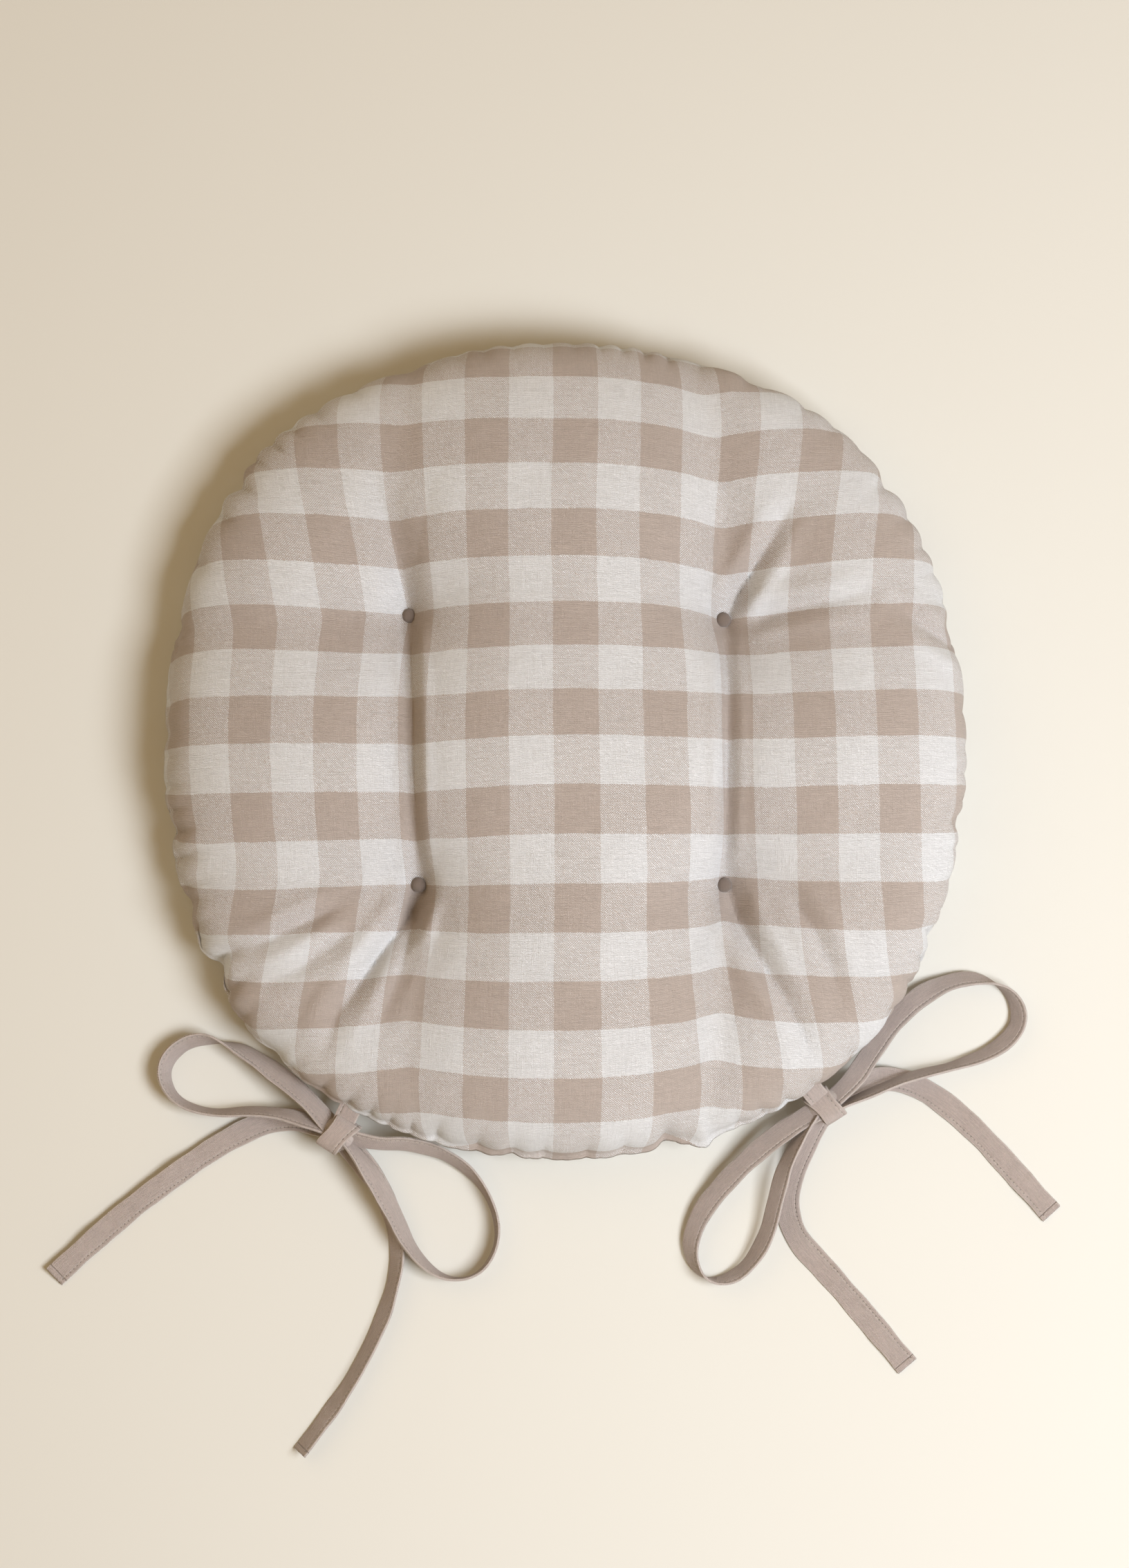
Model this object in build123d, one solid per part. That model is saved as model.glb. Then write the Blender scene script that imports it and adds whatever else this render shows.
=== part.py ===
"""Round tufted chair seat pad, with two pairs of flat tie tapes that are each tied in a bow.

Frame: the origin is under the middle of the pad, on the surface that it rests on. +Z is up and
+Y is towards the front of the seat, so the ties are at the rear, on the -Y side. Millimetres.
"""
from build123d import *
import math
import os

# Driving dimensions: the pad.
PAD_DIAMETER = 400.0
PAD_THICKNESS = 72.0
SEAM_HEIGHT = 31.0
REST_DIAMETER = 270.0  # the flat underside that the pad rests on
CLOTH = 0.8  # one cover panel
SEAM_ALLOWANCE = 10.0  # the edge of each panel, turned in at the seam
SEAM_THREAD = 0.5  # diameter
SEAM_THREAD_INSET = 3.0  # in from the edge
FILLING_GAP = 0.3  # between the filling and what is round it

# Driving dimensions: the tufts.
TUFTS = {
    "front_left": (-77.0, 64.0),
    "front_right": (78.0, 62.0),
    "rear_left": (-72.0, -69.0),
    "rear_right": (78.0, -69.0),
}
TOP_SEAT = 35.0  # height of the cloth under a top button
BOTTOM_SEAT = 17.0  # height of the cloth over a bottom button
TOP_DIMPLE_RADIUS = 36.0
BOTTOM_DIMPLE_RADIUS = 24.0
SEAT_RADIUS = 5.5
BUTTON_DIAMETER = 7.4
BUTTON_HEIGHT = 3.6
BUTTON_CLOTH = 0.6
TUFT_THREAD = 1.0
TUFT_THREAD_HOLE = 1.4

# Driving dimensions: the ties.
TAPE_WIDTH = 11.0
TAPE_THICKNESS = 1.2
ROOT_DEPTH = 9.0  # how far a tape's root reaches in between the turned-in edges
ROOT_FREE = 3.0  # how far it goes straight out of the seam before it bends down to the knot
ARC_SHARE = 0.45  # of the shorter run beside a corner, which its arc takes up

# Each knot: centre, size along the bow, across it and up, and the bow's heading in degrees.
KNOTS = {
    "left": ((-112.0, -191.0, 18.0), (14.0, 19.0, 13.0), -42.0),
    "right": ((128.0, -177.0, 18.0), (15.0, 18.0, 12.0), 32.0),
}
# The two tapes of a pair leave the seam one on the other: half the distance between their middles.
ROOT_RISE = {"outer": 0.9, "inner": -0.9}

# Loops stand on edge. Each route starts and ends in its knot.
LOOPS = {
    "left_outer": [
        (-113, -190, 19), (-125, -175, 17), (-145, -159, 12), (-167, -145, 8), (-187, -143, 6.5),
        (-201, -157, 6.2), (-195, -174, 6.5), (-176, -181, 9), (-153, -179, 12), (-132, -182, 16),
        (-114, -190, 18),
    ],
    "left_inner": [
        (-110, -191, 19), (-96, -196, 18), (-76, -195, 13), (-53, -203, 8), (-37, -221, 6.2),
        (-32, -243, 6.2), (-42, -261, 6.2), (-60, -263, 7), (-76, -249, 9), (-86, -227, 13),
        (-97, -208, 17), (-108, -194, 18),
    ],
    "right_outer": [
        (130, -175, 20), (141, -166, 19), (150, -152, 15), (163, -134, 10), (180, -119, 7),
        (202, -112, 6.2), (221, -119, 6.2), (227, -135, 6.2), (215, -149, 6.5), (194, -157, 8),
        (171, -162, 11), (152, -170, 16), (133, -178, 18),
    ],
    "right_inner": [
        (126, -178, 20), (112, -186, 18), (97, -197, 14), (80, -213, 10), (66, -230, 7),
        (60, -249, 6.2), (69, -264, 6.2), (86, -261, 7), (99, -243, 10), (104, -221, 13),
        (110, -200, 17), (123, -181, 18),
    ],
}
# Tails lie flat. Each route starts at the tape's stitched end and rises into its knot.
TAILS = {
    "left_outer": [
        (-253, -261, 0.7), (-223, -233, 0.7), (-191, -209, 0.7), (-169, -194, 0.7), (-148, -184, 2),
        (-129, -183, 7), (-113, -189, 13),
    ],
    "left_inner": [
        (-131, -347, 0.7), (-113, -324, 0.7), (-98, -299, 0.7), (-86, -271, 0.7), (-82, -246, 0.7),
        (-88, -223, 2), (-99, -206, 7), (-111, -192, 13),
    ],
    "right_outer": [
        (241, -230, 0.7), (223, -210, 0.7), (206, -191, 0.7), (186, -173, 0.7), (167, -163, 2),
        (147, -164, 7), (129, -176, 13),
    ],
    "right_inner": [
        (169, -305, 0.7), (149, -281, 0.7), (129, -258, 0.7), (112, -240, 0.7), (109, -219, 1.5),
        (117, -199, 6.5), (127, -179, 13),
    ],
}


def lens(inset):
    """The pad's outline without its tufts, moved in by inset: a crown, a steep rim, a flat underside."""
    rim = PAD_DIAMETER / 2 - inset
    top = PAD_THICKNESS - inset
    flat = REST_DIAMETER / 2
    crown = Bezier((0, top), (0.75 * rim, top), (rim, top), (rim, SEAM_HEIGHT))
    belly = Bezier((rim, SEAM_HEIGHT), (rim, inset + 5), (rim - 22, inset), (flat, inset))
    base = Line((flat, inset), (0, inset))
    axis = Line((0, inset), (0, top))
    return revolve(Plane.XZ * make_face([crown, belly, base, axis]), Axis.Z)


def dimple(seat, mouth, radius, inset):
    """The hollow of one tuft, from the cloth's seat at the button out to past the pad's surface.

    inset grows it all round, for the inner face of the cloth.
    """
    up = math.copysign(1.0, mouth - seat)
    low = seat - up * inset
    high = mouth + up * 6
    wall = Bezier(
        (SEAT_RADIUS + inset, low),
        (0.42 * radius, low + 0.12 * (mouth - seat)),
        (0.5 * radius, mouth - 0.12 * (mouth - seat)),
        (radius + inset, mouth + up * 0.8),
    )
    outline = [
        Line((0, low), (SEAT_RADIUS + inset, low)),
        wall,
        Line((radius + inset, mouth + up * 0.8), (radius + inset, high)),
        Line((radius + inset, high), (0, high)),
        Line((0, high), (0, low)),
    ]
    return revolve(Plane.XZ * make_face(outline), Axis.Z)


def padded_form(inset):
    """The pad with its tufts, moved in by inset."""
    form = lens(inset)
    for x, y in TUFTS.values():
        form -= Pos(x, y) * dimple(TOP_SEAT, PAD_THICKNESS, TOP_DIMPLE_RADIUS, inset)
        form -= Pos(x, y) * dimple(BOTTOM_SEAT, 0.0, BOTTOM_DIMPLE_RADIUS, inset)
    return form


def ring(inner, outer, low, high):
    """A flat ring about the pad's axis."""
    body = Cylinder(outer, high - low, align=(Align.CENTER, Align.CENTER, Align.MIN))
    hole = Cylinder(inner, high - low, align=(Align.CENTER, Align.CENTER, Align.MIN))
    return Pos(0, 0, low) * (body - hole)


def rod(diameter, low, high):
    """An upright round rod on the Z axis."""
    return Pos(0, 0, low) * Cylinder(
        diameter / 2, high - low, align=(Align.CENTER, Align.CENTER, Align.MIN)
    )


def dome(radius, height):
    """A low round dome that stands on the XY plane."""
    profile = [
        Line((0, 0), (radius, 0)),
        Bezier((radius, 0), (radius, 0.55 * height), (0.55 * radius, height), (0, height)),
        Line((0, height), (0, 0)),
    ]
    return revolve(Plane.XZ * make_face(profile), Axis.Z)


def corner_radii(route):
    """One radius for each corner, as large as the two runs beside it allow."""
    radii = []
    for before, corner, after in zip(route, route[1:], route[2:]):
        into, out_of = Vector(corner) - Vector(before), Vector(after) - Vector(corner)
        half_turn = math.radians(into.get_angle(out_of)) / 2
        radii.append(ARC_SHARE * min(into.length, out_of.length) / math.tan(half_turn))
    return radii


def tape(name, route, on_edge):
    """A tape of flat section along a route of straight runs and tangent arcs."""
    radii = corner_radii(route)
    path = FilletPolyline(*route, radius=radii)
    length = path.length
    start, along = path @ 0, path % 0
    side = Vector(0, 0, 1).cross(along)
    across = (TAPE_THICKNESS, TAPE_WIDTH) if on_edge else (TAPE_WIDTH, TAPE_THICKNESS)
    section = Plane(origin=start, x_dir=side, z_dir=along) * Rectangle(*across)
    solid = sweep(section, path=path)
    share = solid.volume / (TAPE_WIDTH * TAPE_THICKNESS * length)
    print(f"{name}: length {length:.0f}, volume {share:.3f} of section by length,",
          "radii", [round(r) for r in radii])
    return solid


def knot(centre, size, heading):
    """The tightened wrap of a bow, as a rounded block."""
    block = Box(*size)
    block = fillet(block.edges().filter_by(Axis.X), 4.5)
    block = fillet(block.faces().filter_by(Axis.X).edges(), 1.5)
    return Pos(*centre) * Rot(0, 0, heading) * block


def root(centre, rise):
    """The short stretch of tape from between the panels' turned-in edges to its knot."""
    outward = Vector(centre[0], centre[1], 0).normalized()
    lift = Vector(0, 0, SEAM_HEIGHT + rise)
    rim = PAD_DIAMETER / 2
    start = outward * (rim - ROOT_DEPTH) + lift
    edge = outward * (rim + ROOT_FREE) + lift
    end = Vector(*centre) + Vector(0, 0, rise)
    path = FilletPolyline(start, edge, end, radius=corner_radii([start, edge, end]))
    section = Plane(origin=start, x_dir=Vector(0, 0, 1).cross(outward), z_dir=outward)
    return sweep(section * Rectangle(TAPE_WIDTH, TAPE_THICKNESS), path=path)


def build_pad(roots):
    """The covers, the thread that joins them, and the filling."""
    form = padded_form(0)
    shell = form - padded_form(CLOTH)
    rim = PAD_DIAMETER / 2
    turned_in = ring(
        rim - SEAM_ALLOWANCE, rim - CLOTH / 2, SEAM_HEIGHT - CLOTH, SEAM_HEIGHT + CLOTH
    )
    covers = shell + turned_in
    stitching = Pos(0, 0, SEAM_HEIGHT) * Torus(rim - SEAM_THREAD_INSET, SEAM_THREAD / 2)
    covers -= stitching
    for x, y in TUFTS.values():
        covers -= Pos(x, y) * rod(TUFT_THREAD_HOLE, 0, PAD_THICKNESS)
    for piece in roots:
        covers -= piece
    seam_plane = Plane.XY.offset(SEAM_HEIGHT)
    top_cover = split(covers, bisect_by=seam_plane, keep=Keep.TOP)
    bottom_cover = split(covers, bisect_by=seam_plane, keep=Keep.BOTTOM)

    inside = padded_form(CLOTH + FILLING_GAP)
    pocket = max(ROOT_RISE.values()) + TAPE_THICKNESS / 2 + FILLING_GAP
    inside -= ring(
        rim - SEAM_ALLOWANCE - FILLING_GAP, rim, SEAM_HEIGHT - pocket, SEAM_HEIGHT + pocket
    )
    for x, y in TUFTS.values():
        inside -= Pos(x, y) * rod(TUFT_THREAD_HOLE, 0, PAD_THICKNESS)
    return {
        "top_cover": top_cover,
        "bottom_cover": bottom_cover,
        "fibre_filling": inside,
        "seam_stitching": stitching,
    }


def build_tufts():
    """Four tufts: a covered button above and below, and the thread that pulls them together."""
    radius, height = BUTTON_DIAMETER / 2, BUTTON_HEIGHT
    core = dome(radius - BUTTON_CLOTH, height - BUTTON_CLOTH)
    cover = dome(radius, height) - core
    places = {"top": (TOP_SEAT, 0), "bottom": (BOTTOM_SEAT, 180)}
    pieces = {}
    for where, (x, y) in TUFTS.items():
        for side, (seat, turn) in places.items():
            place = Pos(x, y, seat) * Rot(turn, 0, 0)
            pieces[f"{side}_button_cover_{where}"] = place * cover
            pieces[f"{side}_button_core_{where}"] = place * core
        pieces[f"tufting_thread_{where}"] = Pos(x, y) * rod(TUFT_THREAD, BOTTOM_SEAT, TOP_SEAT)
    return pieces


def build_ties():
    """Both bows: a knot, two loops, two tails and two roots each."""
    pieces, roots = {}, []
    for side, (centre, size, heading) in KNOTS.items():
        wrap = knot(centre, size, heading)
        pieces[f"{side}_bow_knot"] = wrap
        for name, rise in ROOT_RISE.items():
            whole = root(centre, rise)
            roots.append(whole)
            pieces[f"{side}_tie_root_{name}"] = whole - wrap
    for routes, kind, on_edge in ((LOOPS, "loop", True), (TAILS, "tail", False)):
        for key, route in routes.items():
            side, name = key.split("_")
            strip = tape(f"{side} {name} {kind}", route, on_edge)
            pieces[f"{side}_bow_{kind}_{name}"] = strip - pieces[f"{side}_bow_knot"]
    return pieces, roots


def main():
    os.makedirs("parts", exist_ok=True)
    ties, roots = build_ties()
    pieces = {**build_pad(roots), **build_tufts(), **ties}
    for name, shape in pieces.items():
        export_step(shape, f"parts/{name}.step")


main()
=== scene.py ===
"""Looks of the round tufted seat pad: gingham covers, covered buttons, and two tied bows of tape.

The covers come from a cloth simulation of two flat round panels, which are sewn together at the
edge, filled, and pulled together at four tufts. It works in millimetres, as the routes of the ties
do. Everything that reaches Blender is in metres, in the frame of the CAD model.
"""
import math

import bpy
import numpy as np
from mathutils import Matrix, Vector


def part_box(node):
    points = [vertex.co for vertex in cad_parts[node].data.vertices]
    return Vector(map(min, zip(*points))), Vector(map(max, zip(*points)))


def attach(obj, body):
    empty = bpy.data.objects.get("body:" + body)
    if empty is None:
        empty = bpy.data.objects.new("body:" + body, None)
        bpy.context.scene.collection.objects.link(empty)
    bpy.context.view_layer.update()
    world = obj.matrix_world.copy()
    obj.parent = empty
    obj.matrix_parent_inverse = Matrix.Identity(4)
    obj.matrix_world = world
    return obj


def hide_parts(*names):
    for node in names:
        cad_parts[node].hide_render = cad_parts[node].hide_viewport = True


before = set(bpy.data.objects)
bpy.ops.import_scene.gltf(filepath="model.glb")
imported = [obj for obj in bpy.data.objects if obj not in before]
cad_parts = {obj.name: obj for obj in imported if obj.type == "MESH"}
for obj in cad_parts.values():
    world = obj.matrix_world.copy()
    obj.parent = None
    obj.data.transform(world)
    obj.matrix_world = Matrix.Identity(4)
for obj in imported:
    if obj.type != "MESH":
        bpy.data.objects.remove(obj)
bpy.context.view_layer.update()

MM = 0.001
BODY = "root"


def middle(node):
    """The middle of a CAD node's box, in millimetres."""
    low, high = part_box(node)
    return (np.array(low) + np.array(high)) / 2 / MM


# ---------- the camera

VIEW_TARGET = (-0.5, -17.5, 15.0)  # the middle of the picture
VIEW_DISTANCE = 2200.0
VIEW_HEIGHT = 778.6  # how much of the floor the picture shows, from its bottom to its top
VIEW_TILT = math.radians(5.0)  # from straight down, towards the ties
SENSOR = 36.0


def new_object(name, data):
    thing = bpy.data.objects.new(name, data)
    bpy.context.collection.objects.link(thing)
    return thing


def make_camera():
    data = bpy.data.cameras.new("camera")
    data.sensor_width = SENSOR
    data.lens = SENSOR * VIEW_DISTANCE / VIEW_HEIGHT
    data.clip_end = 20.0
    camera = new_object("camera", data)
    x, y, z = VIEW_TARGET
    y -= VIEW_DISTANCE * math.sin(VIEW_TILT)
    z += VIEW_DISTANCE * math.cos(VIEW_TILT)
    camera.location = (x * MM, y * MM, z * MM)
    camera.rotation_euler = (VIEW_TILT, 0, 0)
    bpy.context.scene.camera = camera
    bpy.context.scene.view_settings.view_transform = "Standard"


make_camera()

# ---------- mesh helpers


def new_mesh(name, points, faces, uv, material, smooth=True):
    """An object from points in millimetres, with one UV map, cloth, that is in millimetres too."""
    mesh = bpy.data.meshes.new(name)
    mesh.from_pydata((np.asarray(points) * MM).tolist(), [], faces)
    layer = mesh.uv_layers.new(name="cloth")
    corners = np.empty(len(mesh.loops), dtype=np.int32)
    mesh.loops.foreach_get("vertex_index", corners)
    layer.data.foreach_set("uv", np.asarray(uv, dtype=np.float32)[corners].ravel())
    mesh.polygons.foreach_set("use_smooth", [smooth] * len(mesh.polygons))
    mesh.materials.append(material)
    mesh.validate()
    return new_object(name, mesh)


FLIPPED = [0, 3, 2, 1]  # a quad's corners the other way round


def ring_quads(rings, size, closed=False):
    """Quads between rings of size points each, as indices into all the points."""
    here = np.arange(rings if closed else rings - 1)[:, None] * size
    there = (here + size) % (rings * size)
    m = np.arange(size)
    after = (m + 1) % size
    corners = [here + m, here + after, there + after, there + m]
    return np.stack(corners, axis=-1).reshape(-1, 4)


def grid_quads(size):
    """Quads of a square grid with size points on a side."""
    index = np.arange(size * size).reshape(size, size)
    corners = [index[:-1, :-1], index[1:, :-1], index[1:, 1:], index[:-1, 1:]]
    return np.stack([corner.ravel() for corner in corners], axis=1)


def round_turn(count):
    """Evenly spaced angles, once round."""
    return np.linspace(0, 2 * math.pi, count, endpoint=False)


def unit(vectors):
    return vectors / np.linalg.norm(vectors, axis=-1, keepdims=True)


def level(vectors):
    """The horizontal direction of each vector."""
    return unit(vectors * (1.0, 1.0, 0.0))


def beside(ahead):
    """The directions to the left of a line and above it, where it runs ahead."""
    left = unit(np.cross((0.0, 0.0, 1.0), ahead))
    return left, np.cross(ahead, left)


def finish_piece(piece, slot, *nodes):
    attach(piece, BODY)
    if nodes:
        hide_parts(*nodes)


# ---------- materials


class Nodes:
    """Short names for building a material's node tree."""

    def __init__(self, name, roughness, sheen=0.0):
        self.material = bpy.data.materials.new(name)
        self.material.use_nodes = True
        self.tree = self.material.node_tree
        self.shader = self.tree.nodes["Principled BSDF"]
        self.shader.inputs["Roughness"].default_value = roughness
        self.shader.inputs["Sheen Weight"].default_value = sheen
        self.shader.inputs["Sheen Roughness"].default_value = 0.5
        self.shader.inputs["Specular IOR Level"].default_value = 0.25

    def put(self, socket, value):
        if isinstance(value, tuple):
            socket.default_value = value[: len(socket.default_value)]
        elif isinstance(value, (int, float)):
            socket.default_value = value
        else:
            self.tree.links.new(value, socket)

    def math(self, operation, a, b=0.0, clamp=False):
        node = self.tree.nodes.new("ShaderNodeMath")
        node.operation = operation
        node.use_clamp = clamp
        self.put(node.inputs[0], a)
        self.put(node.inputs[1], b)
        return node.outputs[0]

    def plus(self, a, b, clamp=False):
        return self.math("ADD", a, b, clamp)

    def minus(self, a, b, clamp=False):
        return self.math("SUBTRACT", a, b, clamp)

    def times(self, a, b, clamp=False):
        return self.math("MULTIPLY", a, b, clamp)

    def mix(self, share, a, b):
        node = self.tree.nodes.new("ShaderNodeMix")
        node.data_type = "RGBA"
        self.put(node.inputs["Factor"], share)
        self.put(node.inputs["A"], a)
        self.put(node.inputs["B"], b)
        return node.outputs["Result"]

    def shade(self, colour, factor):
        node = self.tree.nodes.new("ShaderNodeVectorMath")
        node.operation = "SCALE"
        self.put(node.inputs[0], colour)
        self.put(node.inputs["Scale"], factor)
        return node.outputs[0]

    def uv(self):
        node = self.tree.nodes.new("ShaderNodeUVMap")
        node.uv_map = "cloth"
        split = self.tree.nodes.new("ShaderNodeSeparateXYZ")
        self.tree.links.new(node.outputs[0], split.inputs[0])
        return split.outputs[0], split.outputs[1]

    def join(self, x, y, z=0.0):
        node = self.tree.nodes.new("ShaderNodeCombineXYZ")
        for socket, value in zip(node.inputs, (x, y, z)):
            self.put(socket, value)
        return node.outputs[0]

    def noise(self, vector, scale, detail=2.0):
        """Noise about 0.5, from 0 to 1."""
        node = self.tree.nodes.new("ShaderNodeTexNoise")
        self.put(node.inputs["Vector"], vector)
        node.inputs["Scale"].default_value = scale
        node.inputs["Detail"].default_value = detail
        return node.outputs["Fac"]

    def streaks(self, u, v, across, along):
        """Noise that is drawn out where the pitch across or along is low."""
        return self.noise(self.join(self.times(u, across), self.times(v, along)), 1.0, 3.0)

    def vary(self, share, amount):
        """A factor about 1, from a share about 0.5."""
        return self.plus(self.times(self.minus(share, 0.5), amount), 1.0)

    def bump(self, height, distance, normal=None):
        node = self.tree.nodes.new("ShaderNodeBump")
        node.inputs["Distance"].default_value = distance * MM
        self.put(node.inputs["Height"], height)
        if normal is not None:
            self.put(node.inputs["Normal"], normal)
        return node.outputs[0]

    def finish(self, colour, roughness=None, normal=None):
        self.put(self.shader.inputs["Base Color"], colour)
        if roughness is not None:
            self.put(self.shader.inputs["Roughness"], roughness)
        if normal is not None:
            self.put(self.shader.inputs["Normal"], normal)
        return self.material


CROSSING_EDGE = 2.5  # how sharply one yarn gives way to the other


def weave(n, u, v, pitch, weft_lead=0.0):
    """A plain weave. Returns how far the warp is on top, from 0 to 1, and the height of the cloth.
    weft_lead is how much more of the weft shows than of the warp.
    """
    x = n.math("SINE", n.times(u, math.pi / pitch))
    y = n.math("SINE", n.times(v, math.pi / pitch))
    crossing = n.times(x, y)
    on_top = n.plus(n.times(crossing, CROSSING_EDGE), n.minus(0.5, weft_lead), clamp=True)
    warp = n.times(n.math("ABSOLUTE", x), on_top)
    weft = n.times(n.math("ABSOLUTE", y), n.minus(1.0, on_top))
    return on_top, n.plus(warp, weft)


def stripes(n, along, start, width):
    """1 on every second stripe, the first of which begins at start."""
    turns = n.math("DIVIDE", n.minus(along, start), 2 * width)
    return n.math("LESS_THAN", n.math("FRACT", turns), 0.5)


def near(n, along, line, reach):
    """1 on a line, falling to 0 at its reach on either side."""
    off = n.math("ABSOLUTE", n.minus(along, line))
    return n.minus(1.0, n.math("DIVIDE", off, reach), clamp=True)


CHECK_WIDTH = 22.14  # one column of checks
CHECK_LENGTH = 23.6  # one row of checks
FIRST_COLUMN = -CHECK_WIDTH / 2  # a dark column runs down the middle of the panel
FIRST_ROW = -2.1  # where a dark row begins, near the panel's middle
GINGHAM_YARN = 0.56  # from one yarn to the next
WANDER = 1.2  # how far the yarns stray, over a few checks and over a few yarns
FINE_WANDER = 1.0
WEFT_LEAD = 0.36  # how much more of the weft shows than of the warp
LEAD_CHANGE = 2.4  # how much the lead changes from place to place
SLUB_CONTRAST = 0.42
SLUB_RELIEF = 1.4
GINGHAM_RELIEF = 0.22
SOFT_RELIEF = 1.1  # of the broad unevenness under the weave
WHITE = (0.708, 0.724, 0.745, 1.0)
TAUPE = (0.464, 0.401, 0.363, 1.0)
NEP_RARITY = 0.74
NEP_COLOUR = (0.9, 0.88, 0.86, 1.0)


def gingham():
    n = Nodes("gingham", roughness=0.85, sheen=0.2)
    u, v = n.uv()
    place = n.join(u, v)
    # The yarns wander a little, so the checks' edges are not ruled.
    wander = n.times(n.minus(n.noise(place, 0.07), 0.5), WANDER)
    fine = n.times(n.minus(n.noise(place, 0.6), 0.5), FINE_WANDER)
    u = n.plus(n.plus(u, wander), fine)
    v = n.plus(n.minus(v, wander), fine)
    # In places the weft shows more than the warp, in short runs along it.
    runs = n.streaks(u, v, 0.35, 1.1)
    lead = n.plus(n.times(n.minus(runs, 0.5), LEAD_CHANGE), WEFT_LEAD)
    on_top, height = weave(n, u, v, GINGHAM_YARN, lead)
    # Slubs: each yarn is a little thicker, thinner, lighter or darker along its length.
    warp_slub = n.streaks(u, v, 1.3, 0.07)
    weft_slub = n.streaks(u, v, 0.07, 1.3)
    warp = n.mix(stripes(n, u, FIRST_COLUMN, CHECK_WIDTH), WHITE, TAUPE)
    weft = n.mix(stripes(n, v, FIRST_ROW, CHECK_LENGTH), WHITE, TAUPE)
    warp = n.shade(warp, n.vary(warp_slub, SLUB_CONTRAST))
    weft = n.shade(weft, n.vary(weft_slub, SLUB_CONTRAST))
    colour = n.mix(on_top, weft, warp)
    # Mottling, as loose fibres gather in places.
    colour = n.shade(colour, n.vary(n.noise(place, 0.45, 4.0), 0.16))
    colour = n.shade(colour, n.vary(n.noise(place, 0.02), 0.08))
    # The gaps between the yarns are darker: painted shade where the yarns dip.
    colour = n.shade(colour, n.plus(n.times(height, 0.34), 0.80))
    # Neps: little pale knots of fibre, here and there.
    nep = n.times(n.minus(n.noise(place, 0.8, 1.0), NEP_RARITY), 14.0, clamp=True)
    colour = n.mix(n.times(nep, 0.5), colour, NEP_COLOUR)
    slubs = n.plus(warp_slub, weft_slub)
    relief = n.plus(height, n.times(slubs, SLUB_RELIEF))
    relief = n.plus(relief, nep)
    soft = n.bump(n.noise(place, 0.055, 3.0), SOFT_RELIEF)
    normal = n.bump(relief, GINGHAM_RELIEF, soft)
    roughness = n.minus(0.98, n.times(height, 0.08))
    return n.finish(colour, roughness, normal)


TAPE_COLOUR = (0.545, 0.465, 0.43, 1.0)
TAPE_YARN = 0.5
STITCH_LINE = 3.5  # across the tape, from its middle
STITCH_PITCH = 2.4
STITCH_HALF_LENGTH = 0.36  # as a share of the pitch
STITCH_HALF_WIDTH = 0.45
HEM_LINE = 3.0  # along the tape, from its stitched end
HEM_HALF_WIDTH = 0.5
EDGE_HIGHLIGHT_FROM = 4.7  # the painted highlight on the long edges begins this far from the tape's middle
# the colour of the painted highlight along the tape's long edges
EDGE_HIGHLIGHT_COLOUR = (0.8, 0.74, 0.68, 1.0)
# painted shade in the stitch holes between the dashes
STITCH_HOLE_SHADE = (0.12, 0.09, 0.07, 1.0)
STITCH_COLOUR = (0.74, 0.67, 0.6, 1.0)
# painted shade in the groove of the hem's row of stitches
HEM_GROOVE_SHADE = (0.2, 0.16, 0.13, 1.0)
TAPE_RELIEF = 0.36


def tape():
    """Plain taupe cotton, with a line of stitches near one long edge."""
    n = Nodes("tape", roughness=0.88, sheen=0.3)
    u, v = n.uv()
    place = n.join(u, v)
    _, height = weave(n, u, v, TAPE_YARN)
    slub = n.streaks(u, v, 0.15, 1.8)
    colour = n.shade(TAPE_COLOUR, n.vary(slub, 0.5))
    colour = n.shade(colour, n.vary(n.noise(place, 0.08), 0.16))
    colour = n.shade(colour, n.vary(n.noise(place, 0.9), 0.3))
    # The gaps between the yarns are darker: painted shade where the yarns dip.
    colour = n.shade(colour, n.plus(n.times(height, 0.42), 0.75))
    # The long edges are paler: a painted highlight along both of them.
    edge = n.times(n.minus(n.math("ABSOLUTE", v), EDGE_HIGHLIGHT_FROM), 2.0, clamp=True)
    colour = n.mix(n.times(edge, 0.35), colour, EDGE_HIGHLIGHT_COLOUR)
    # One stitch is a short dash, sunk at both ends. The gaps between the dashes are drawn dark:
    # painted shade in the stitch holes.
    dash = n.math("ABSOLUTE", n.minus(n.math("FRACT", n.math("DIVIDE", u, STITCH_PITCH)), 0.5))
    hole = n.math("GREATER_THAN", dash, STITCH_HALF_LENGTH)
    near_line = near(n, v, STITCH_LINE, STITCH_HALF_WIDTH)
    hole_shade = n.times(hole, near_line)
    colour = n.mix(n.times(hole_shade, 0.4), colour, STITCH_HOLE_SHADE)
    thread = n.times(n.minus(1.0, hole), near_line)
    colour = n.mix(n.times(thread, 0.7), colour, STITCH_COLOUR)
    # The end is turned under and held by one more row of stitches, drawn as a dark line: painted
    # shade in the groove there.
    near_hem = near(n, u, HEM_LINE, HEM_HALF_WIDTH)
    colour = n.mix(n.times(near_hem, 0.45), colour, HEM_GROOVE_SHADE)
    soft = n.bump(n.noise(n.join(n.times(u, 1.6), v), 0.13, 3.0), SOFT_RELIEF)
    relief = n.minus(n.plus(height, slub), n.times(near_line, 2.2))
    relief = n.plus(relief, n.times(thread, 1.6))
    relief = n.minus(relief, n.times(near_hem, 2.0))
    normal = n.bump(relief, TAPE_RELIEF, soft)
    roughness = n.minus(0.96, n.times(height, 0.12))
    return n.finish(colour, roughness, normal)


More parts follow.
